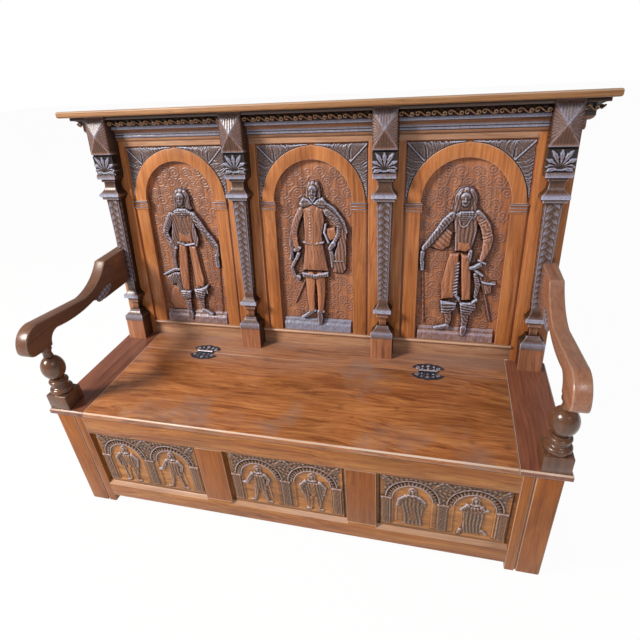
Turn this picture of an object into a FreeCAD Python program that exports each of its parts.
import FreeCAD, Part
import Sketcher
import math
import os
from FreeCAD import Placement, Rotation, Vector

# Settle bench in carved oak: a box seat with a hinged lid, two scroll arms on turned
# supports and a tall back that leans, with three arched bays between four pilasters.
# Frame: X across the bench, Y towards the back, Z up. The floor is Z = 0, and the origin
# is the middle of the underside of the whole bench. Millimetres.

doc = FreeCAD.newDocument("SettleBench")
sheet = doc.addObject("Spreadsheet::Sheet", "Sizes")


class Size:
    """A length that carries its number and the sheet expression that gives it."""

    def __init__(self, number, text):
        self.number = float(number)
        self.text = text

    def __add__(self, other):
        other = as_size(other)
        return Size(self.number + other.number, "(%s + %s)" % (self.text, other.text))

    def __radd__(self, other):
        return as_size(other) + self

    def __sub__(self, other):
        other = as_size(other)
        return Size(self.number - other.number, "(%s - %s)" % (self.text, other.text))

    def __rsub__(self, other):
        return as_size(other) - self

    def __mul__(self, other):
        other = as_size(other)
        return Size(self.number * other.number, "(%s * %s)" % (self.text, other.text))

    def __rmul__(self, other):
        return as_size(other) * self

    def __truediv__(self, other):
        other = as_size(other)
        return Size(self.number / other.number, "(%s / %s)" % (self.text, other.text))

    def __neg__(self):
        return as_size(0) - self


def as_size(value):
    if isinstance(value, Size):
        return value
    return Size(value, "%g" % value)


rows = []


def size(name, number):
    """Write one driving dimension into the sheet and hand back its Size."""
    rows.append(name)
    row = len(rows)
    sheet.set("A%d" % row, name)
    sheet.set("B%d" % row, "%g" % number)
    sheet.setAlias("B%d" % row, name)
    return Size(number, "Sizes." + name)


def tangent(angle):
    return Size(math.tan(math.radians(angle.number)), "tan(%s)" % angle.text)


def sine(angle):
    return Size(math.sin(math.radians(angle.number)), "sin(%s)" % angle.text)


def cosine(angle):
    return Size(math.cos(math.radians(angle.number)), "cos(%s)" % angle.text)


# Overall heights and widths
seat_height = size("seat_height", 440)
seat_depth = size("seat_depth", 502)
seat_overhang = size("seat_overhang", 17.5)
chest_setback = size("chest_setback", 4)
back_rake = size("back_rake", 7.3)
glide_height = size("glide_height", 8)
glide_radius = size("glide_radius", 16)

# Chest frame
post_width = size("post_width", 101)
post_depth = size("post_depth", 60)
post_groove_from_edge = size("post_groove_from_edge", 68)
post_groove_width = size("post_groove_width", 5)
post_groove_depth = size("post_groove_depth", 5)
post_corner = size("post_corner", 7)
rail_thickness = size("rail_thickness", 32)
top_rail_height = size("top_rail_height", 74)
bottom_rail_height = size("bottom_rail_height", 71)
bottom_rail_clear = size("bottom_rail_clear", 41)
muntin_width = size("muntin_width", 93)
middle_opening = size("middle_opening", 394)
sill_chamfer = size("sill_chamfer", 11)
panel_recess = size("panel_recess", 15)
panel_thickness = size("panel_thickness", 11)
panel_margin = size("panel_margin", 10)
arcade_strip = size("arcade_strip", 16)
arcade_proud = size("arcade_proud", 4)
arcade_pitch = size("arcade_pitch", 178)
arcade_radius = size("arcade_radius", 56)
arcade_band = size("arcade_band", 25)
arcade_crown = size("arcade_crown", 21)
arcade_shaft = size("arcade_shaft", 27)
arcade_shaft_gap = size("arcade_shaft_gap", 8)
arcade_relief = size("arcade_relief", 4)
arcade_cap_height = size("arcade_cap_height", 9)
arcade_cap_reach = size("arcade_cap_reach", 3)
end_rail_thickness = size("end_rail_thickness", 26)
end_rail_recess = size("end_rail_recess", 5)
end_panel_thickness = size("end_panel_thickness", 12)
back_board_thickness = size("back_board_thickness", 16)
floor_thickness = size("floor_thickness", 14)
floor_clear = size("floor_clear", 60)

# Seat boards, lid and hinges
board_thickness = size("board_thickness", 18)
board_nosing = size("board_nosing", 6)
side_board_width = size("side_board_width", 130)
lid_side_gap = size("lid_side_gap", 1)
lid_back_gap = size("lid_back_gap", 1)
lid_rest_gap = size("lid_rest_gap", 0.3)
lid_thickness = size("lid_thickness", 18.5)
hinge_line = size("hinge_line", 111)
hinge_offset = size("hinge_offset", 414)
leaf_width = size("leaf_width", 108)
leaf_reach = size("leaf_reach", 42)
leaf_thickness = size("leaf_thickness", 2)
barrel_length = size("barrel_length", 62)
barrel_radius = size("barrel_radius", 4)
barrel_lift = size("barrel_lift", 5)
knuckle_gap = size("knuckle_gap", 0.4)
pin_radius = size("pin_radius", 1.8)
pin_clearance = size("pin_clearance", 0.1)
screw_radius = size("screw_radius", 3)
screw_head = size("screw_head", 1)

# Leaning back frame, measured up its own slope from the seat
stile_thickness = size("stile_thickness", 36)
pilaster_pitch = size("pilaster_pitch", 494)
bay_width = size("bay_width", 380)
back_margin = size("back_margin", 13)
seat_beyond_back = size("seat_beyond_back", 6.5)
back_rail_height = size("back_rail_height", 55)
frieze_bottom = size("frieze_bottom", 722)
frieze_top = size("frieze_top", 820)
ledge_height = size("ledge_height", 9)
ledge_reach = size("ledge_reach", 5)

# Arched frames and figure panels
arch_frame_thickness = size("arch_frame_thickness", 20)
spandrel_recess = size("spandrel_recess", 10)
arch_face_recess = size("arch_face_recess", 2)
arch_inner_radius = size("arch_inner_radius", 136)
arch_band = size("arch_band", 42)
arch_spring = size("arch_spring", 534)
jamb_groove = size("jamb_groove", 8)
impost_height = size("impost_height", 30)
impost_reach = size("impost_reach", 4)
impost_ear = size("impost_ear", 5)
figure_panel_thickness = size("figure_panel_thickness", 14)
ground_height = size("ground_height", 42)
ground_reach = size("ground_reach", 14)

# Pilasters: half widths of the members, on an axis set out from the frame
pilaster_axis = size("pilaster_axis", 17.5)
plinth_half = size("plinth_half", 37.3)
plinth_top = size("plinth_top", 71)
base_fillet_half = size("base_fillet_half", 38.6)
base_fillet_top = size("base_fillet_top", 90)
base_flare_top = size("base_flare_top", 113)
base_neck_half = size("base_neck_half", 12.5)
base_neck_top = size("base_neck_top", 128)
cup_half = size("cup_half", 20.5)
cup_top = size("cup_top", 146)
collar_half = size("collar_half", 31)
collar_bottom = size("collar_bottom", 163)
collar_top = size("collar_top", 176)
foot_half = size("foot_half", 27.5)
shaft_bottom_half = size("shaft_bottom_half", 17.5)
shaft_bottom = size("shaft_bottom", 208)
shaft_top_half = size("shaft_top_half", 24)
shaft_top = size("shaft_top", 545)
abacus_half = size("abacus_half", 33)
bell_bottom_half = size("bell_bottom_half", 39.5)
bell_bottom = size("bell_bottom", 555)
bell_fillet = size("bell_fillet", 9)
bell_top_half = size("bell_top_half", 21.5)
bell_top = size("bell_top", 592)
cap_neck_top = size("cap_neck_top", 606)
cap_fillet_half = size("cap_fillet_half", 27)
cap_half = size("cap_half", 36.5)
cap_bottom = size("cap_bottom", 616)
flare_round = size("flare_round", 1.1)
pilaster_top = size("pilaster_top", 630)

# Carved top blocks: a leaf block under a diamond point block
block_half = size("block_half", 38)
leaf_block_top = size("leaf_block_top", 694)
leaf_block_reach = size("leaf_block_reach", 47)
block_reach = size("block_reach", 55)
block_step = size("block_step", 4)
diamond_bottom = size("diamond_bottom", 700)
diamond_top = size("diamond_top", 813)
diamond_height = size("diamond_height", 15)
diamond_point = size("diamond_point", 1)

# Cornice
cornice_bottom = size("cornice_bottom", 740)
cornice_bead_reach = size("cornice_bead_reach", 6)
cornice_bead_step = size("cornice_bead_step", 2)
cornice_bead_rise = size("cornice_bead_rise", 7)
cornice_bead_top = size("cornice_bead_top", 765)
cornice_fillet_reach = size("cornice_fillet_reach", 22.5)
cornice_fillet_bottom = size("cornice_fillet_bottom", 777)
cornice_fillet_top = size("cornice_fillet_top", 788)
cornice_ovolo_reach = size("cornice_ovolo_reach", 42)
cornice_ovolo_top = size("cornice_ovolo_top", 810)
cornice_top_reach = size("cornice_top_reach", 49)
shelf_overhang = size("shelf_overhang", 60)
shelf_lip = size("shelf_lip", 49)
shelf_thickness = size("shelf_thickness", 20)
shelf_round = size("shelf_round", 6)

# Arms and their turned supports
arm_offset = size("arm_offset", 16)
arm_thickness = size("arm_thickness", 42)
arm_under_rise = size("arm_under_rise", 16)
arm_depth = size("arm_depth", 124)
arm_flat = size("arm_flat", 113)
arm_overhang = size("arm_overhang", 36)
arm_valley_rise = size("arm_valley_rise", 65)
arm_valley_run = size("arm_valley_run", 145)
arm_crest_rise = size("arm_crest_rise", 92)
arm_crest_drop = size("arm_crest_drop", 1.5)
arm_crest_set = size("arm_crest_set", 14)
arm_hollow_radius = size("arm_hollow_radius", 208)
arm_scroll_radius = size("arm_scroll_radius", 66)
arm_nose_radius = size("arm_nose_radius", 26)
arm_nose_rise = size("arm_nose_rise", 3)
arm_throat_radius = size("arm_throat_radius", 40)
arm_belly_radius = size("arm_belly_radius", 497)
arm_belly_rise = size("arm_belly_rise", 37)
arm_belly_run = size("arm_belly_run", 108)
arm_step_run = size("arm_step_run", 55)
arm_notch_clearance = size("arm_notch_clearance", 0.3)
support_shift = size("support_shift", 3)
support_from_front = size("support_from_front", 40.5)
support_height = size("support_height", 224)
support_block = size("support_block", 73)
support_block_height = size("support_block_height", 55)
support_torus = size("support_torus", 35)
support_torus_height = size("support_torus_height", 18)
support_torus_swell = size("support_torus_swell", 4)
support_hollow_height = size("support_hollow_height", 6)
support_waist = size("support_waist", 24)
support_waist_height = size("support_waist_height", 9)
support_step = size("support_step", 2)
support_collar = size("support_collar", 28)
support_collar_height = size("support_collar_height", 11)
support_bulb = size("support_bulb", 33)
support_neck = size("support_neck", 14)
support_neck_height = size("support_neck_height", 13)
support_cap = size("support_cap", 19)
support_cap_height = size("support_cap_height", 8)

# Places that follow from the sizes
half_bay = bay_width / 2
half_pitch = pilaster_pitch / 2
outer_pilaster = half_pitch + pilaster_pitch
stile_inner = pilaster_pitch + half_bay
half_back = outer_pilaster + block_half + back_margin
half_seat = half_back + seat_beyond_back
half_chest = half_seat - seat_overhang
half_lid = half_seat - side_board_width
half_shelf = half_back + shelf_overhang
board_bottom = seat_height - board_thickness
shelf_top = frieze_top + shelf_thickness
shelf_reach = cornice_top_reach + shelf_lip
arm_centre = outer_pilaster + arm_offset
arm_reach = seat_depth + arm_overhang
arm_seat = seat_height + support_height
arm_underside = arm_seat + arm_under_rise
arm_top = arm_underside + arm_depth
arm_valley = arm_seat + arm_valley_rise
arm_crest = arm_seat + arm_crest_rise
rear_reach = shelf_top * sine(back_rake) + stile_thickness * cosine(back_rake)
back_plane = (arm_reach - rear_reach) / 2
seat_front = back_plane - seat_depth
chest_front = seat_front + chest_setback
hinge_y = back_plane - hinge_line
hinge_z = seat_height + barrel_lift
slope = tangent(back_rake)

pieces = []


def register(piece, name):
    """Name a finished piece and keep it for export."""
    piece.Label = name
    pieces.append(piece)
    return piece


def lean(piece):
    """Stand a piece in the leaning frame of the back."""
    piece.Placement = Placement(
        Vector(0, back_plane.number, seat_height.number),
        Rotation(Vector(-1, 0, 0), back_rake.number),
    )
    piece.setExpression("Placement.Base.y", back_plane.text)
    piece.setExpression("Placement.Base.z", seat_height.text)
    piece.setExpression("Placement.Rotation.Angle", back_rake.text)


def move(piece, x, y, z):
    """Place an upright piece."""
    spots = [("x", as_size(x)), ("y", as_size(y)), ("z", as_size(z))]
    piece.Placement = Placement(Vector(*[spot.number for axis, spot in spots]), Rotation())
    for axis, spot in spots:
        piece.setExpression("Placement.Base." + axis, spot.text)


def fill_outline(sketch, corners, arcs=None):
    """Draw a closed outline. Each corner is bound to the sheet, and a side that is
    listed in arcs is a round one with its radius, positive where it turns left."""
    arcs = arcs or {}
    points = [(as_size(a), as_size(b)) for a, b in corners]
    count = len(points)
    ends = []
    for index in range(count):
        a, b = points[index]
        c, d = points[(index + 1) % count]
        start = Vector(a.number, b.number, 0)
        finish = Vector(c.number, d.number, 0)
        if index in arcs:
            radius, turn = arcs[index]
            span = finish.sub(start)
            half = span.Length / 2
            rise = math.sqrt(max(as_size(radius).number ** 2 - half ** 2, 0))
            side = Vector(-span.y, span.x, 0)
            side.normalize()
            centre = start.add(finish).multiply(0.5).add(side.multiply(rise * turn))
            first, last = (start, finish) if turn > 0 else (finish, start)
            angle_one = math.atan2(first.y - centre.y, first.x - centre.x)
            angle_two = math.atan2(last.y - centre.y, last.x - centre.x)
            circle = Part.Circle(centre, Vector(0, 0, 1), as_size(radius).number)
            sketch.addGeometry(Part.ArcOfCircle(circle, angle_one, angle_two), False)
            ends.append((1, 2) if turn > 0 else (2, 1))
        else:
            sketch.addGeometry(Part.LineSegment(start, finish), False)
            ends.append((1, 2))
    first_line = sketch.GeometryCount - count
    for index in range(count):
        following = (index + 1) % count
        sketch.addConstraint(Sketcher.Constraint(
            "Coincident",
            first_line + index, ends[index][1],
            first_line + following, ends[following][0],
        ))
    for index in range(count):
        for kind, spot in (("DistanceX", points[index][0]), ("DistanceY", points[index][1])):
            number = sketch.addConstraint(Sketcher.Constraint(
                kind, -1, 1, first_line + index, ends[index][0], spot.number,
            ))
            sketch.setExpression("Constraints[%d]" % number, spot.text)
    for index in arcs:
        radius = as_size(arcs[index][0])
        number = sketch.addConstraint(Sketcher.Constraint(
            "Radius", first_line + index, radius.number,
        ))
        sketch.setExpression("Constraints[%d]" % number, radius.text)


def origin_plane(body, role):
    for feature in body.Origin.OriginFeatures:
        if feature.Role == role:
            return feature
    raise RuntimeError("no plane " + role)


def new_body(name):
    body = doc.addObject("PartDesign::Body", "Body_" + name)
    return register(body, name)


def body_sketch(body, role, name, offset=0):
    """A sketch on one of the body's own planes, moved along that plane's normal."""
    sketch = body.newObject("Sketcher::SketchObject", name)
    sketch.AttachmentSupport = [(origin_plane(body, role), "")]
    sketch.MapMode = "FlatFace"
    offset = as_size(offset)
    sketch.AttachmentOffset = Placement(Vector(0, 0, offset.number), Rotation())
    sketch.setExpression("AttachmentOffset.Base.z", offset.text)
    return sketch


def pad(body, sketch, length, name, backwards=False):
    feature = body.newObject("PartDesign::Pad", name)
    feature.Profile = sketch
    feature.Length = as_size(length).number
    feature.setExpression("Length", as_size(length).text)
    feature.Reversed = backwards
    sketch.Visibility = False
    return feature


def pocket(body, sketch, length, name, backwards=False):
    feature = body.newObject("PartDesign::Pocket", name)
    feature.Profile = sketch
    feature.Length = as_size(length).number
    feature.setExpression("Length", as_size(length).text)
    feature.Reversed = backwards
    return feature


def rectangle(left, low, right, high):
    return [(left, low), (right, low), (right, high), (left, high)]


def block_body(name, left, right, front, back, low, high, leaning=False):
    """A sawn board or rail, drawn as its plan and padded upwards."""
    body = new_body(name)
    plan = body_sketch(body, "XY_Plane", "Plan_" + name, low)
    fill_outline(plan, rectangle(left, front, right, back))
    pad(body, plan, as_size(high) - low, "Pad_" + name)
    if leaning:
        lean(body)
    return body


def side_body(name, left, right, corners, arcs=None, leaning=False):
    """A piece with one section across the bench, padded along X."""
    body = new_body(name)
    section = body_sketch(body, "YZ_Plane", "Section_" + name, left)
    fill_outline(section, corners, arcs)
    pad(body, section, as_size(right) - left, "Pad_" + name)
    if leaning:
        lean(body)
    return body


def round_edges(body, radius, chosen, name):
    """Round the straight edges of the body's last feature whose middle is chosen."""
    doc.recompute()
    last = body.Tip
    names = []
    for index, edge in enumerate(last.Shape.Edges):
        middle = edge.valueAt((edge.FirstParameter + edge.LastParameter) / 2)
        if chosen(middle):
            names.append("Edge%d" % (index + 1))
    if not names:
        raise RuntimeError("no edge to round on " + body.Label)
    feature = body.newObject("PartDesign::Fillet", name)
    feature.Base = (last, names)
    feature.Radius = as_size(radius).number
    feature.setExpression("Radius", as_size(radius).text)
    return feature


def span(side, near, far):
    """The left and right limits of a piece that lies on one side of the middle."""
    if side > 0:
        return near, far
    return -as_size(far), -as_size(near)


sides = (("left", -1), ("right", 1))

# Corner posts of the chest, with a groove beside the outer face
for word, side in sides:
    name = "front_post_" + word
    left, right = span(side, half_chest - post_width, half_chest)
    body = new_body(name)
    plan = body_sketch(body, "XY_Plane", "Plan_" + name, glide_height)
    groove = span(
        side,
        half_chest - post_groove_from_edge - post_groove_width,
        half_chest - post_groove_from_edge,
    )
    corners = [
        (left, chest_front),
        (groove[0], chest_front),
        (groove[0], chest_front + post_groove_depth),
        (groove[1], chest_front + post_groove_depth),
        (groove[1], chest_front),
        (right, chest_front),
        (right, chest_front + post_depth),
        (left, chest_front + post_depth),
    ]
    fill_outline(plan, corners)
    pad(body, plan, board_bottom - glide_height, "Pad_" + name)
    outer = side * half_chest.number
    round_edges(
        body,
        post_corner,
        lambda middle: abs(middle.x - outer) < 0.01 and abs(middle.y - chest_front.number) < 0.01,
        "Round_" + name,
    )

# Rear posts: upright in the chest, then leaning as the outer stiles of the back
for word, side in sides:
    name = "rear_post_" + word
    left, right = span(side, stile_inner, half_chest)
    foot_back = back_plane + stile_thickness
    top_low = seat_height + frieze_top * cosine(back_rake)
    top_front = back_plane + frieze_top * sine(back_rake)
    kink = stile_thickness * tangent(back_rake / 2)
    corners = [
        (back_plane, glide_height),
        (foot_back, glide_height),
        (foot_back, seat_height - kink),
        (top_front + stile_thickness * cosine(back_rake), top_low - stile_thickness * sine(back_rake)),
        (top_front, top_low),
        (back_plane, seat_height),
    ]
    body = side_body(name, left, right, corners)
    edge = span(side, half_chest, half_back)
    strip = body_sketch(body, "YZ_Plane", "Cheek_" + name, edge[0])
    fill_outline(strip, [
        (back_plane, seat_height),
        (foot_back, seat_height),
        corners[3],
        corners[4],
    ])
    pad(body, strip, edge[1] - edge[0], "CheekPad_" + name)

# Front frame of the chest between the posts
post_inner = half_chest - post_width
rail_back = chest_front + rail_thickness
opening_low = bottom_rail_clear + bottom_rail_height
opening_high = board_bottom - top_rail_height
muntin_inner = middle_opening / 2
muntin_outer = muntin_inner + muntin_width
openings = {
    "left": (-post_inner, -muntin_outer),
    "middle": (-muntin_inner, muntin_inner),
    "right": (muntin_outer, post_inner),
}
block_body("front_top_rail", -post_inner, post_inner, chest_front, rail_back,
           opening_high, board_bottom)
bottom_rail = block_body("front_bottom_rail", -post_inner, post_inner, chest_front, rail_back,
                         bottom_rail_clear, opening_low)
for word in openings:
    sill = body_sketch(bottom_rail, "YZ_Plane", "Sill_" + word, openings[word][0])
    fill_outline(sill, [
        (chest_front, opening_low - sill_chamfer),
        (chest_front + sill_chamfer, opening_low),
        (chest_front, opening_low),
    ])
    pocket(bottom_rail, sill, openings[word][1] - openings[word][0], "SillCut_" + word,
           backwards=True)
for word, side in sides:
    left, right = span(side, muntin_inner, muntin_outer)
    block_body("front_muntin_" + word, left, right, chest_front, rail_back,
               opening_low, opening_high)

# Carved front panels: a raised field with two arched openings, then rings and shafts on it
panel_front = chest_front + panel_recess
arcade_low = opening_low + arcade_strip
arcade_spring = opening_high - arcade_crown - arcade_band - arcade_radius
arcade_outer = arcade_radius + arcade_band


def arch_opening(centre, radius, low, spring):
    """An arched opening and the arcs of its head, for one closed loop."""
    corners = [
        (centre - radius, low),
        (centre + radius, low),
        (centre + radius, spring),
        (centre, spring + radius),
        (centre - radius, spring),
    ]
    return corners, {2: (radius, 1), 3: (radius, 1)}


def arch_ring(centre, radius, outer, spring):
    corners = [
        (centre + radius, spring),
        (centre + outer, spring),
        (centre, spring + outer),
        (centre - outer, spring),
        (centre - radius, spring),
        (centre, spring + radius),
    ]
    return corners, {1: (outer, 1), 2: (outer, 1), 4: (radius, -1), 5: (radius, -1)}


for word in openings:
    left, right = openings[word]
    name = "front_panel_" + word
    board = block_body(name, left, right, panel_front, panel_front + panel_thickness,
                       opening_low, opening_high)
    middle = (as_size(left) + right) / 2
    field = body_sketch(board, "XZ_Plane", "Field_" + name, -panel_front)
    fill_outline(field, rectangle(as_size(left) + panel_margin, opening_low,
                                  as_size(right) - panel_margin, opening_high))
    centres = [middle - arcade_pitch / 2, middle + arcade_pitch / 2]
    for centre in centres:
        fill_outline(field, *arch_opening(centre, arcade_radius, arcade_low, arcade_spring))
    pad(board, field, arcade_proud, "FieldPad_" + name)
    rings = body_sketch(board, "XZ_Plane", "Rings_" + name, arcade_proud - panel_front)
    for centre in centres:
        fill_outline(rings, *arch_ring(centre, arcade_radius, arcade_outer, arcade_spring))
    pad(board, rings, arcade_relief, "RingsPad_" + name)
    reach = arcade_pitch / 2 + arcade_radius + arcade_shaft_gap + arcade_shaft / 2
    for number, spot in enumerate((middle - reach, middle, middle + reach)):
        for kind, half, low, high in (
            ("Shaft", arcade_shaft / 2, arcade_low, arcade_spring - arcade_cap_height),
            ("Cap", arcade_shaft / 2 + arcade_cap_reach, arcade_spring - arcade_cap_height,
             arcade_spring),
        ):
            face = body_sketch(board, "XZ_Plane", "%s%d_%s" % (kind, number, name),
                               arcade_proud - panel_front)
            fill_outline(face, rectangle(spot - half, low, spot + half, high))
            pad(board, face, arcade_relief, "%sPad%d_%s" % (kind, number, name))

# Ends, back and floor of the chest
end_front = chest_front + post_depth
end_outer = half_chest - end_rail_recess
end_inner = end_outer - end_rail_thickness
panel_inner = (end_outer + end_inner - end_panel_thickness) / 2
for word, side in sides:
    left, right = span(side, end_inner, end_outer)
    block_body("end_top_rail_" + word, left, right, end_front, back_plane,
               opening_high, board_bottom)
    block_body("end_bottom_rail_" + word, left, right, end_front, back_plane,
               bottom_rail_clear, opening_low)
    left, right = span(side, panel_inner, panel_inner + end_panel_thickness)
    block_body("end_panel_" + word, left, right, end_front, back_plane,
               opening_low, opening_high)
block_body("chest_back_board", -stile_inner, stile_inner, back_plane,
           back_plane + back_board_thickness, bottom_rail_clear, board_bottom)
block_body("chest_floor_board", -end_inner, end_inner, end_front, back_plane,
           floor_clear, floor_clear + floor_thickness)

# Round glides under the four posts
glides = []
for word, side in sides:
    across = side * (half_chest - post_width / 2)
    across_rear = side * (stile_inner + half_chest) / 2
    spots = (
        ("front", across, chest_front + post_depth / 2),
        ("rear", across_rear, back_plane + stile_thickness / 2),
    )
    for place, x, y in spots:
        glide = doc.addObject("Part::Cylinder", "Glide_%s_%s" % (place, word))
        glide.Radius = glide_radius.number
        glide.Height = glide_height.number
        glide.setExpression("Radius", glide_radius.text)
        glide.setExpression("Height", glide_height.text)
        move(glide, x, y, 0)
        glides.append(glide)
glide_group = doc.addObject("Part::Compound", "Glides")
glide_group.Links = glides
register(glide_group, "floor_glides")

# Fixed seat boards beside and behind the lid
for word, side in sides:
    name = "seat_side_board_" + word
    left, right = span(side, half_lid, half_seat)
    body = block_body(name, left, right, seat_front, back_plane, board_bottom, seat_height)
    outer = side * half_seat.number
    round_edges(
        body,
        board_nosing,
        lambda middle: abs(middle.z - seat_height.number) < 0.01
        and (abs(middle.x - outer) < 0.01 or abs(middle.y - seat_front.number) < 0.01),
        "Nosing_" + name,
    )
block_body("seat_back_strip", -half_lid, half_lid, hinge_y + lid_back_gap / 2,
           back_plane + stile_thickness, board_bottom, seat_height)

# Lid
lid_bottom = board_bottom + lid_rest_gap
lid_top = lid_bottom + lid_thickness
lid = block_body("seat_lid", -half_lid + lid_side_gap, half_lid - lid_side_gap, seat_front,
                 hinge_y - lid_back_gap / 2, lid_bottom, lid_top)
round_edges(
    lid,
    board_nosing,
    lambda middle: abs(middle.z - lid_top.number) < 0.01
    and abs(middle.y - seat_front.number) < 0.01,
    "Nosing_seat_lid",
)

# Butterfly hinges on top of the boards: leaves with scalloped wings, five knuckles
knuckle = barrel_length / 5
web = barrel_radius + pin_clearance
wing_share = 0.45
shoulder_share = 0.8
shoulder_reach_share = 0.78
tip_share = 0.32
lobe_share = 0.3
cove_share = 0.26
screw_spots = ((-0.32, 0.45), (0, 0.75), (0.32, 0.45))


def leaf(name, centre, way, low, owned):
    """One leaf of a hinge. way is 1 for the fixed leaf behind and -1 for the lid leaf."""
    body = new_body(name)
    plan = body_sketch(body, "XY_Plane", "Plan_" + name, low)
    half = leaf_width / 2
    waist = barrel_length / 2
    wing = leaf_reach * wing_share
    shoulder = half * shoulder_share
    tip = half * tip_share
    outline = [
        (-waist, way * web),
        (waist, way * web),
        (half, way * wing),
        (shoulder, way * leaf_reach * shoulder_reach_share),
        (tip, way * leaf_reach),
        (-tip, way * leaf_reach),
        (-shoulder, way * leaf_reach * shoulder_reach_share),
        (-half, way * wing),
    ]
    lobe = leaf_width * lobe_share
    cove = leaf_width * cove_share
    turns = {1: (cove, -way), 2: (lobe, way), 3: (lobe, way), 4: (lobe, way), 5: (lobe, way),
             6: (lobe, way), 7: (cove, -way)}
    fill_outline(plan, outline, turns)
    pad(body, plan, leaf_thickness, "Plate_" + name)
    for number in owned:
        start = -barrel_length / 2 + knuckle * number + knuckle_gap / 2
        stop = knuckle - knuckle_gap
        tail = body_sketch(body, "YZ_Plane", "Web%d_%s" % (number, name), start)
        fill_outline(tail, [
            (0, low),
            (way * (web + 1), low),
            (way * (web + 1), low + leaf_thickness),
            (0, low + leaf_thickness),
        ])
        pad(body, tail, stop, "WebPad%d_%s" % (number, name))
        eye = body_sketch(body, "YZ_Plane", "Eye%d_%s" % (number, name), start)
        eye.addGeometry(Part.Circle(Vector(0, hinge_z.number, 0), Vector(0, 0, 1),
                                    barrel_radius.number), False)
        place = eye.addConstraint(Sketcher.Constraint("DistanceY", -1, 1, 0, 3, hinge_z.number))
        eye.setExpression("Constraints[%d]" % place, hinge_z.text)
        eye.addConstraint(Sketcher.Constraint("PointOnObject", 0, 3, -2))
        wide = eye.addConstraint(Sketcher.Constraint("Radius", 0, barrel_radius.number))
        eye.setExpression("Constraints[%d]" % wide, barrel_radius.text)
        pad(body, eye, stop, "EyePad%d_%s" % (number, name))
    bore = body_sketch(body, "YZ_Plane", "Bore_" + name, -barrel_length / 2 - 1)
    bore_radius = pin_radius + pin_clearance
    bore.addGeometry(Part.Circle(Vector(0, hinge_z.number, 0), Vector(0, 0, 1),
                                 bore_radius.number), False)
    place = bore.addConstraint(Sketcher.Constraint("DistanceY", -1, 1, 0, 3, hinge_z.number))
    bore.setExpression("Constraints[%d]" % place, hinge_z.text)
    bore.addConstraint(Sketcher.Constraint("PointOnObject", 0, 3, -2))
    wide = bore.addConstraint(Sketcher.Constraint("Radius", 0, bore_radius.number))
    bore.setExpression("Constraints[%d]" % wide, bore_radius.text)
    pocket(body, bore, barrel_length + 2, "BoreCut_" + name, backwards=True)
    move(body, centre, hinge_y, 0)
    return body


pins = []
screws = {"fixed": [], "lid": []}
for word, side in sides:
    centre = side * hinge_offset
    leaf("hinge_fixed_leaf_" + word, centre, 1, seat_height, (0, 2, 4))
    leaf("hinge_lid_leaf_" + word, centre, -1, lid_top, (1, 3))
    pin = doc.addObject("Part::Cylinder", "Pin_" + word)
    pin.Radius = pin_radius.number
    pin.Height = barrel_length.number
    pin.setExpression("Radius", pin_radius.text)
    pin.setExpression("Height", barrel_length.text)
    move(pin, centre - barrel_length / 2, hinge_y, hinge_z)
    pin.Placement = Placement(pin.Placement.Base, Rotation(Vector(0, 1, 0), 90))
    pins.append(pin)
    for kind, way, low in (("fixed", 1, seat_height), ("lid", -1, lid_top)):
        for number, (across, along) in enumerate(screw_spots):
            screw = doc.addObject("Part::Cylinder", "Screw_%s_%s_%d" % (kind, word, number))
            screw.Radius = screw_radius.number
            screw.Height = screw_head.number
            screw.setExpression("Radius", screw_radius.text)
            screw.setExpression("Height", screw_head.text)
            move(screw, centre + leaf_width * across, hinge_y + leaf_reach * (way * along),
                 low + leaf_thickness)
            screws[kind].append(screw)
pin_group = doc.addObject("Part::Compound", "Pins")
pin_group.Links = pins
register(pin_group, "hinge_pins")
for kind in screws:
    group = doc.addObject("Part::Compound", "Screws_" + kind)
    group.Links = screws[kind]
    register(group, "hinge_screws_" + kind)

# Back frame: bottom rail on the seat strip, inner stiles and frieze rail
rail_foot = stile_thickness * slope
ledge_bow = 0.6
lower_rail = side_body("back_bottom_rail", -stile_inner, stile_inner, [
    (0, 0),
    (stile_thickness, rail_foot),
    (stile_thickness, back_rail_height),
    (0, back_rail_height),
], leaning=True)
ledge_runs = (
    ("left", -stile_inner, -half_pitch - plinth_half),
    ("middle", -half_pitch + plinth_half, half_pitch - plinth_half),
    ("right", half_pitch + plinth_half, stile_inner),
)
for word, left, right in ledge_runs:
    nosing = body_sketch(lower_rail, "YZ_Plane", "Nosing_" + word, left)
    fill_outline(nosing, [
        (0, back_rail_height - ledge_height),
        (0, back_rail_height),
        (-ledge_reach, back_rail_height),
        (-ledge_reach, back_rail_height - ledge_height),
    ], {2: (ledge_height * ledge_bow, 1)})
    pad(lower_rail, nosing, as_size(right) - left, "NosingPad_" + word)
for word, side in sides:
    left, right = span(side, half_bay, pilaster_pitch - half_bay)
    block_body("back_stile_" + word, left, right, 0, stile_thickness,
               back_rail_height, frieze_bottom, leaning=True)
block_body("back_frieze_rail", -stile_inner, stile_inner, 0, stile_thickness,
           frieze_bottom, frieze_top, leaning=True)

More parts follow.
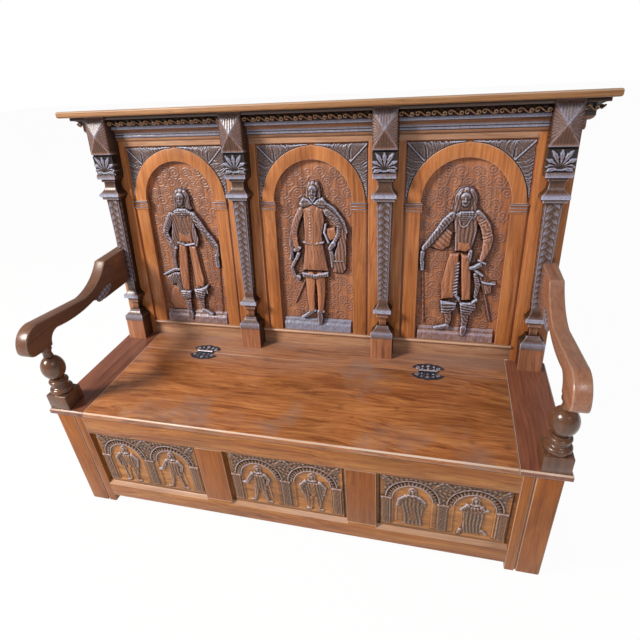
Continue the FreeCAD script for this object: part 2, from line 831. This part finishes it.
# Arched frames and figure panels, one of each for every bay
bays = (("left", -pilaster_pitch), ("middle", as_size(0)), ("right", pilaster_pitch))
band_outer = arch_inner_radius + arch_band
jamb_outer = half_bay - jamb_groove
for word, centre in bays:
    name = "arch_frame_" + word
    body = new_body(name)
    back_sketch = body_sketch(body, "XZ_Plane", "Back_" + name, -arch_frame_thickness)
    inside = [
        (centre - arch_inner_radius, back_rail_height),
        (centre - half_bay, back_rail_height),
        (centre - half_bay, frieze_bottom),
        (centre + half_bay, frieze_bottom),
        (centre + half_bay, back_rail_height),
        (centre + arch_inner_radius, back_rail_height),
        (centre + arch_inner_radius, arch_spring),
        (centre, arch_spring + arch_inner_radius),
        (centre - arch_inner_radius, arch_spring),
    ]
    fill_outline(back_sketch, inside, {6: (arch_inner_radius, 1), 7: (arch_inner_radius, 1)})
    pad(body, back_sketch, arch_frame_thickness - spandrel_recess, "Ground_" + name)
    band_sketch = body_sketch(body, "XZ_Plane", "Band_" + name, -spandrel_recess)
    band = [
        (centre - arch_inner_radius, back_rail_height),
        (centre - jamb_outer, back_rail_height),
        (centre - jamb_outer, arch_spring - impost_height),
        (centre - band_outer, arch_spring - impost_height),
        (centre - band_outer, arch_spring),
        (centre, arch_spring + band_outer),
        (centre + band_outer, arch_spring),
        (centre + band_outer, arch_spring - impost_height),
        (centre + jamb_outer, arch_spring - impost_height),
        (centre + jamb_outer, back_rail_height),
        (centre + arch_inner_radius, back_rail_height),
        (centre + arch_inner_radius, arch_spring),
        (centre, arch_spring + arch_inner_radius),
        (centre - arch_inner_radius, arch_spring),
    ]
    fill_outline(band_sketch, band, {
        4: (band_outer, -1),
        5: (band_outer, -1),
        11: (arch_inner_radius, 1),
        12: (arch_inner_radius, 1),
    })
    pad(body, band_sketch, spandrel_recess - arch_face_recess, "BandPad_" + name)
    for number, side in enumerate((-1, 1)):
        near = centre + side * (arch_inner_radius - impost_ear)
        far = centre + side * jamb_outer
        left, right = (near, far) if side > 0 else (far, near)
        impost = body_sketch(body, "XZ_Plane", "Impost%d_%s" % (number, name),
                             -spandrel_recess)
        fill_outline(impost, rectangle(left, arch_spring - impost_height, right, arch_spring))
        pad(body, impost, spandrel_recess - arch_face_recess + impost_reach,
            "ImpostPad%d_%s" % (number, name))
    lean(body)

    name = "figure_panel_" + word
    body = block_body(name, centre - half_bay, centre + half_bay, arch_frame_thickness,
                      arch_frame_thickness + figure_panel_thickness,
                      back_rail_height, frieze_bottom, leaning=True)
    ledge = body_sketch(body, "YZ_Plane", "Ledge_" + name, centre - arch_inner_radius)
    fill_outline(ledge, [
        (arch_frame_thickness, back_rail_height),
        (arch_frame_thickness, back_rail_height + ground_height),
        (arch_frame_thickness - ground_reach / 2, back_rail_height + ground_height),
        (arch_frame_thickness - ground_reach, back_rail_height + ground_height / 2),
        (arch_frame_thickness - ground_reach, back_rail_height),
    ])
    pad(body, ledge, arch_inner_radius * 2, "LedgePad_" + name)


# Pilasters: one profile cut from the front and from the side, so that every member
# returns round the pilaster with square corners
def member_profile():
    """Half widths and heights of the members, from the plinth up."""
    return [
        (plinth_half, plinth_top),
        (base_fillet_half, plinth_top),
        (base_fillet_half, base_fillet_top),
        (cup_half, base_flare_top),
        (base_neck_half, base_flare_top),
        (base_neck_half, base_neck_top),
        (cup_half, cup_top),
        (cup_half, collar_bottom),
        (collar_half, collar_bottom),
        (collar_half, collar_top),
        (foot_half, collar_top),
        (shaft_bottom_half, shaft_bottom),
        (shaft_top_half, shaft_top),
        (abacus_half, shaft_top),
        (abacus_half, bell_bottom),
        (bell_bottom_half, bell_bottom),
        (bell_bottom_half, bell_bottom + bell_fillet),
        (bell_top_half, bell_top),
        (bell_top_half, cap_neck_top),
        (cap_fillet_half, cap_neck_top),
        (cap_fillet_half, cap_bottom),
        (cap_half, cap_bottom),
        (cap_half, pilaster_top),
    ]


def hollow_members(profile):
    """The sloping members, which are hollow: index of the lower corner and radius."""
    hollows = {}
    for index in (2, 5, 10, 16):
        across = profile[index][0] - profile[index + 1][0]
        rise = profile[index + 1][1] - profile[index][1]
        if index == 5:
            across = -across
        hollows[index] = (across + rise) / 2 * flare_round
    return hollows


def loose_sketch(name, upright):
    """A sketch in the XZ plane, or in the YZ plane where upright says so."""
    sketch = doc.addObject("Sketcher::SketchObject", name)
    turn = Rotation(Vector(1, 1, 1), 120) if upright else Rotation(Vector(1, 0, 0), 90)
    sketch.Placement = Placement(Vector(0, 0, 0), turn)
    return sketch


def extrusion(name, sketch, direction, start, length):
    solid = doc.addObject("Part::Extrusion", name)
    solid.Base = sketch
    solid.DirMode = "Custom"
    solid.Dir = direction
    solid.Solid = True
    start = as_size(start)
    length = as_size(length)
    solid.LengthFwd = (start + length).number
    solid.LengthRev = -start.number
    solid.setExpression("LengthFwd", (start + length).text)
    solid.setExpression("LengthRev", (-start).text)
    sketch.Visibility = False
    return solid


overcut = 2
spots = (
    ("outer_left", -outer_pilaster),
    ("inner_left", -half_pitch),
    ("inner_right", half_pitch),
    ("outer_right", outer_pilaster),
)
for word, centre in spots:
    name = "pilaster_" + word
    profile = member_profile()
    plinth_drop = (plinth_half + pilaster_axis) * slope
    front = loose_sketch("Front_" + name, False)
    right_edge = [(centre + half, height) for half, height in profile]
    left_edge = [(centre - half, height) for half, height in reversed(profile)]
    below = -plinth_drop - overcut
    foot = [(centre - plinth_half, below), (centre + plinth_half, below)]
    hollows = hollow_members(profile)
    count = len(profile)
    arcs = {}
    for index in hollows:
        arcs[len(foot) + index] = (hollows[index], -1)
        arcs[len(foot) + count * 2 - 2 - index] = (hollows[index], -1)
    fill_outline(front, foot + right_edge + left_edge, arcs)
    side_view = loose_sketch("Side_" + name, True)
    reach = [(-(half + pilaster_axis), height) for half, height in profile]
    heel = [(0, 0), (-(plinth_half + pilaster_axis), -plinth_drop)]
    arcs = {len(heel) + index: (hollows[index], 1) for index in hollows}
    fill_outline(side_view, heel + reach + [(0, pilaster_top)], arcs)
    cap = bell_bottom_half + pilaster_axis
    wide = extrusion("FrontSolid_" + name, front, Vector(0, -1, 0), 0, cap)
    deep = extrusion("SideSolid_" + name, side_view, Vector(1, 0, 0),
                     centre - bell_bottom_half, bell_bottom_half * 2)
    both = doc.addObject("Part::Common", "Common_" + name)
    both.Base = wide
    both.Tool = deep
    lean(both)
    register(both, name)

# Top blocks: a leaf block that swells forwards, then a block with a diamond point
for word, centre in spots:
    name = "top_block_" + word
    side_view = loose_sketch("Side_" + name, True)
    fill_outline(side_view, [
        (0, pilaster_top),
        (-leaf_block_reach, pilaster_top),
        (-(block_reach - block_step / 2), leaf_block_top),
        (-leaf_block_reach, leaf_block_top),
        (-leaf_block_reach, diamond_bottom - block_step / 2),
        (-block_reach, diamond_bottom - block_step / 2),
        (-block_reach, frieze_top),
        (0, frieze_top),
    ])
    deep = extrusion("SideSolid_" + name, side_view, Vector(1, 0, 0),
                     centre - block_half, block_half * 2)
    point = doc.addObject("Part::Wedge", "Point_" + name)
    tall = (diamond_top - diamond_bottom) / 2
    limits = {
        "Xmin": -block_half, "Xmax": block_half, "Zmin": -tall, "Zmax": tall,
        "Ymin": as_size(0), "Ymax": diamond_height,
        "X2min": -diamond_point, "X2max": diamond_point,
        "Z2min": -diamond_point, "Z2max": diamond_point,
    }
    for key in limits:
        setattr(point, key, limits[key].number)
        point.setExpression(key, limits[key].text)
    middle = (diamond_top + diamond_bottom) / 2
    point.Placement = Placement(
        Vector(centre.number, -block_reach.number, middle.number), Rotation(Vector(1, 0, 0), 180)
    )
    point.setExpression("Placement.Base.x", centre.text)
    point.setExpression("Placement.Base.y", (-block_reach).text)
    point.setExpression("Placement.Base.z", middle.text)
    joined = doc.addObject("Part::Fuse", "Fuse_" + name)
    joined.Base = deep
    joined.Tool = point
    lean(joined)
    register(joined, name)


# Cornice: lengths of moulding between the blocks, returns round the ends, and the shelf
def cornice_profile(sign, base):
    """Corners from the underside up, out from a base plane, and the arcs among them."""
    return [
        (base + sign * (cornice_bead_reach - cornice_bead_step), cornice_bottom),
        (base + sign * cornice_bead_reach, cornice_bottom + cornice_bead_rise),
        (base + sign * cornice_bead_reach, cornice_bead_top),
        (base + sign * cornice_fillet_reach, cornice_fillet_bottom),
        (base + sign * cornice_fillet_reach, cornice_fillet_top),
        (base + sign * cornice_ovolo_reach, cornice_ovolo_top),
        (base + sign * cornice_top_reach, cornice_ovolo_top),
        (base + sign * cornice_top_reach, frieze_top),
    ]


cove_radius = (cornice_fillet_reach - cornice_bead_reach) * 1.1
ovolo_radius = (cornice_ovolo_top - cornice_fillet_top) * 1.05
lengths = (
    ("left", -outer_pilaster + block_half, -half_pitch - block_half),
    ("middle", -half_pitch + block_half, half_pitch - block_half),
    ("right", half_pitch + block_half, outer_pilaster - block_half),
)
for word, left, right in lengths:
    corners = [(0, cornice_bottom)] + cornice_profile(-1, 0) + [(0, frieze_top)]
    side_body("cornice_moulding_" + word, left, right, corners,
              {3: (cove_radius, -1), 5: (ovolo_radius, 1)}, leaning=True)
for word, side in sides:
    name = "cornice_return_" + word
    near = side * (outer_pilaster + block_half)
    rear = stile_thickness
    front_view = loose_sketch("Front_" + name, False)
    fill_outline(
        front_view,
        [(near, cornice_bottom)] + cornice_profile(side, side * half_back) + [(near, frieze_top)],
        {3: (cove_radius, side), 5: (ovolo_radius, -side)},
    )
    across = extrusion("Across_" + name, front_view, Vector(0, -1, 0), -rear,
                       rear + cornice_top_reach)
    side_view = loose_sketch("Side_" + name, True)
    fill_outline(
        side_view,
        [(rear, cornice_bottom)] + cornice_profile(-1, 0) + [(rear, frieze_top)],
        {3: (cove_radius, -1), 5: (ovolo_radius, 1)},
    )
    limit = span(side, outer_pilaster + block_half, half_back + cornice_top_reach)
    along = extrusion("Along_" + name, side_view, Vector(1, 0, 0), limit[0],
                      limit[1] - limit[0])
    mitre = doc.addObject("Part::Common", "Mitre_" + name)
    mitre.Base = across
    mitre.Tool = along
    core = doc.addObject("Part::Box", "Core_" + name)
    core_span = span(side, outer_pilaster, half_back)
    for key, value in (
        ("Length", core_span[1] - core_span[0]),
        ("Width", rear + overcut),
        ("Height", frieze_top - cornice_bottom + overcut * 2),
    ):
        setattr(core, key, value.number)
        core.setExpression(key, value.text)
    move(core, core_span[0], 0, cornice_bottom - overcut)
    returned = doc.addObject("Part::Cut", "Cut_" + name)
    returned.Base = mitre
    returned.Tool = core
    lean(returned)
    register(returned, name)

shelf = block_body("cornice_shelf", -half_shelf, half_shelf, -shelf_reach, stile_thickness,
                   frieze_top, shelf_top, leaning=True)
round_edges(
    shelf,
    shelf_round,
    lambda middle: (abs(middle.y + shelf_reach.number) < 0.01
                    or abs(abs(middle.x) - half_shelf.number) < 0.01)
    and (abs(middle.z - frieze_top.number) < 0.01 or abs(middle.z - shelf_top.number) < 0.01),
    "Round_cornice_shelf",
)

# Arms: sawn to a scroll at the front, housed over the outer pilaster at the back
scroll_centre_z = arm_crest - arm_scroll_radius
scroll_y = back_plane - arm_reach + arm_scroll_radius
support_y = seat_front + support_from_front
throat_y = support_y + arm_throat_radius * 0.8
throat_back = 0.35
throat_rise = 0.62
scroll_heel = 4
shaft_taper = (shaft_top_half - shaft_bottom_half) / (shaft_top - shaft_bottom)
shaft_half_at_arm = shaft_bottom_half + (arm_top - seat_height - shaft_bottom) * shaft_taper
notch_margin = 30
notch_low = arm_underside - seat_height - notch_margin
for word, side in sides:
    name = "arm_" + word
    outline = loose_sketch("Outline_" + name, True)
    valley_y = back_plane - arm_flat - arm_valley_run
    corners = [
        (back_plane + (arm_underside - seat_height) * slope, arm_underside),
        (back_plane + (arm_top - seat_height) * slope, arm_top),
        (back_plane - arm_flat, arm_top),
        (valley_y, arm_valley),
        (scroll_y + arm_crest_set, arm_crest - arm_crest_drop),
        (back_plane - arm_reach, scroll_centre_z),
        (back_plane - arm_reach + arm_nose_radius, arm_seat + arm_nose_rise),
        (support_y - support_cap - scroll_heel, arm_seat),
        (throat_y - arm_throat_radius * throat_back, arm_seat),
        (throat_y + arm_throat_radius * throat_rise, arm_seat + arm_throat_radius),
        (back_plane - arm_flat - arm_belly_run, arm_seat + arm_belly_rise),
        (back_plane - arm_flat - arm_step_run, arm_underside),
    ]
    fill_outline(outline, corners, {
        2: (arm_hollow_radius, -1),
        4: (arm_scroll_radius, 1),
        5: (arm_nose_radius, 1),
        8: (arm_throat_radius, -1),
        9: (arm_belly_radius, 1),
    })
    left, right = span(side, arm_centre - arm_thickness / 2, arm_centre + arm_thickness / 2)
    board = extrusion("Board_" + name, outline, Vector(1, 0, 0), left, right - left)
    notch = doc.addObject("Part::Box", "Notch_" + name)
    notch_half = shaft_half_at_arm + arm_notch_clearance
    notch_span = span(side, outer_pilaster - notch_half, outer_pilaster + notch_half)
    notch_reach = notch_half + pilaster_axis
    for key, value in (
        ("Length", notch_span[1] - notch_span[0]),
        ("Width", notch_reach + notch_margin),
        ("Height", arm_depth + notch_margin * 2),
    ):
        setattr(notch, key, value.number)
        notch.setExpression(key, value.text)
    down = Rotation(Vector(-1, 0, 0), back_rake.number)
    base = Vector(notch_span[0].number, back_plane.number, seat_height.number)
    shift = down.multVec(Vector(0, -notch_reach.number, notch_low.number))
    notch.Placement = Placement(base.add(shift), down)
    notch_y = back_plane - notch_reach * cosine(back_rake) + notch_low * sine(back_rake)
    notch_z = seat_height + notch_reach * sine(back_rake) + notch_low * cosine(back_rake)
    notch.setExpression("Placement.Base.x", notch_span[0].text)
    notch.setExpression("Placement.Base.y", notch_y.text)
    notch.setExpression("Placement.Base.z", notch_z.text)
    notch.setExpression("Placement.Rotation.Angle", back_rake.text)
    housed = doc.addObject("Part::Cut", "Cut_" + name)
    housed.Base = board
    housed.Tool = notch
    register(housed, name)

# Turned arm supports on square blocks
torus_top = support_block_height + support_torus_height
waist_low = torus_top + support_hollow_height
waist_high = waist_low + support_waist_height
collar_low = waist_high + support_step
collar_high = collar_low + support_collar_height
bulb_low = collar_high + support_step * 2
cap_low = support_height - support_cap_height
neck_low = cap_low - support_neck_height
bulb_high = neck_low - support_step * 4
bulb_middle = (bulb_low + bulb_high) / 2
round_share = 0.55
hollow_share = 0.67
bulb_share = 0.6
cap_share = 0.9
for word, side in sides:
    name = "arm_support_" + word
    body = new_body(name)
    plan = body_sketch(body, "XY_Plane", "Plan_" + name, 0)
    half = support_block / 2
    fill_outline(plan, rectangle(-half, -half, half, half))
    pad(body, plan, support_block_height, "Block_" + name)
    turning = body_sketch(body, "XZ_Plane", "Turning_" + name)
    torus_flank = support_torus - support_torus_swell
    corners = [
        (0, support_block_height - overcut),
        (torus_flank, support_block_height - overcut),
        (torus_flank, support_block_height),
        (torus_flank, torus_top),
        (support_waist, waist_low),
        (support_waist, waist_high),
        (support_collar, collar_low),
        (support_collar, collar_high),
        (support_waist - support_step, bulb_low),
        (support_bulb, bulb_middle),
        (support_neck + support_step, bulb_high),
        (support_neck, neck_low),
        (support_cap, cap_low),
        (support_cap, support_height),
        (0, support_height),
    ]
    fill_outline(turning, corners, {
        2: (support_torus_height * round_share, 1),
        4: (support_waist_height * hollow_share, -1),
        6: (support_collar_height * round_share, 1),
        8: ((bulb_high - bulb_low) * bulb_share, 1),
        9: ((bulb_high - bulb_low) * bulb_share, 1),
        11: ((cap_low - neck_low) * cap_share, -1),
    })
    turned = body.newObject("PartDesign::Revolution", "Turned_" + name)
    turned.Profile = turning
    turned.ReferenceAxis = (turning, ["V_Axis"])
    turned.Angle = 360
    move(body, side * (arm_centre - support_shift), support_y, seat_height)

doc.recompute()

for item in doc.Objects:
    if "Invalid" in item.State or "Error" in item.State:
        raise RuntimeError("%s is %s" % (item.Label, item.State))
os.makedirs("parts", exist_ok=True)
for piece in pieces:
    shape = piece.Shape
    if shape.isNull() or not shape.isValid() or not shape.Solids:
        raise RuntimeError("bad shape in " + piece.Label)
    shape.exportStep("parts/%s.step" % piece.Label)
print(len(pieces), "pieces")
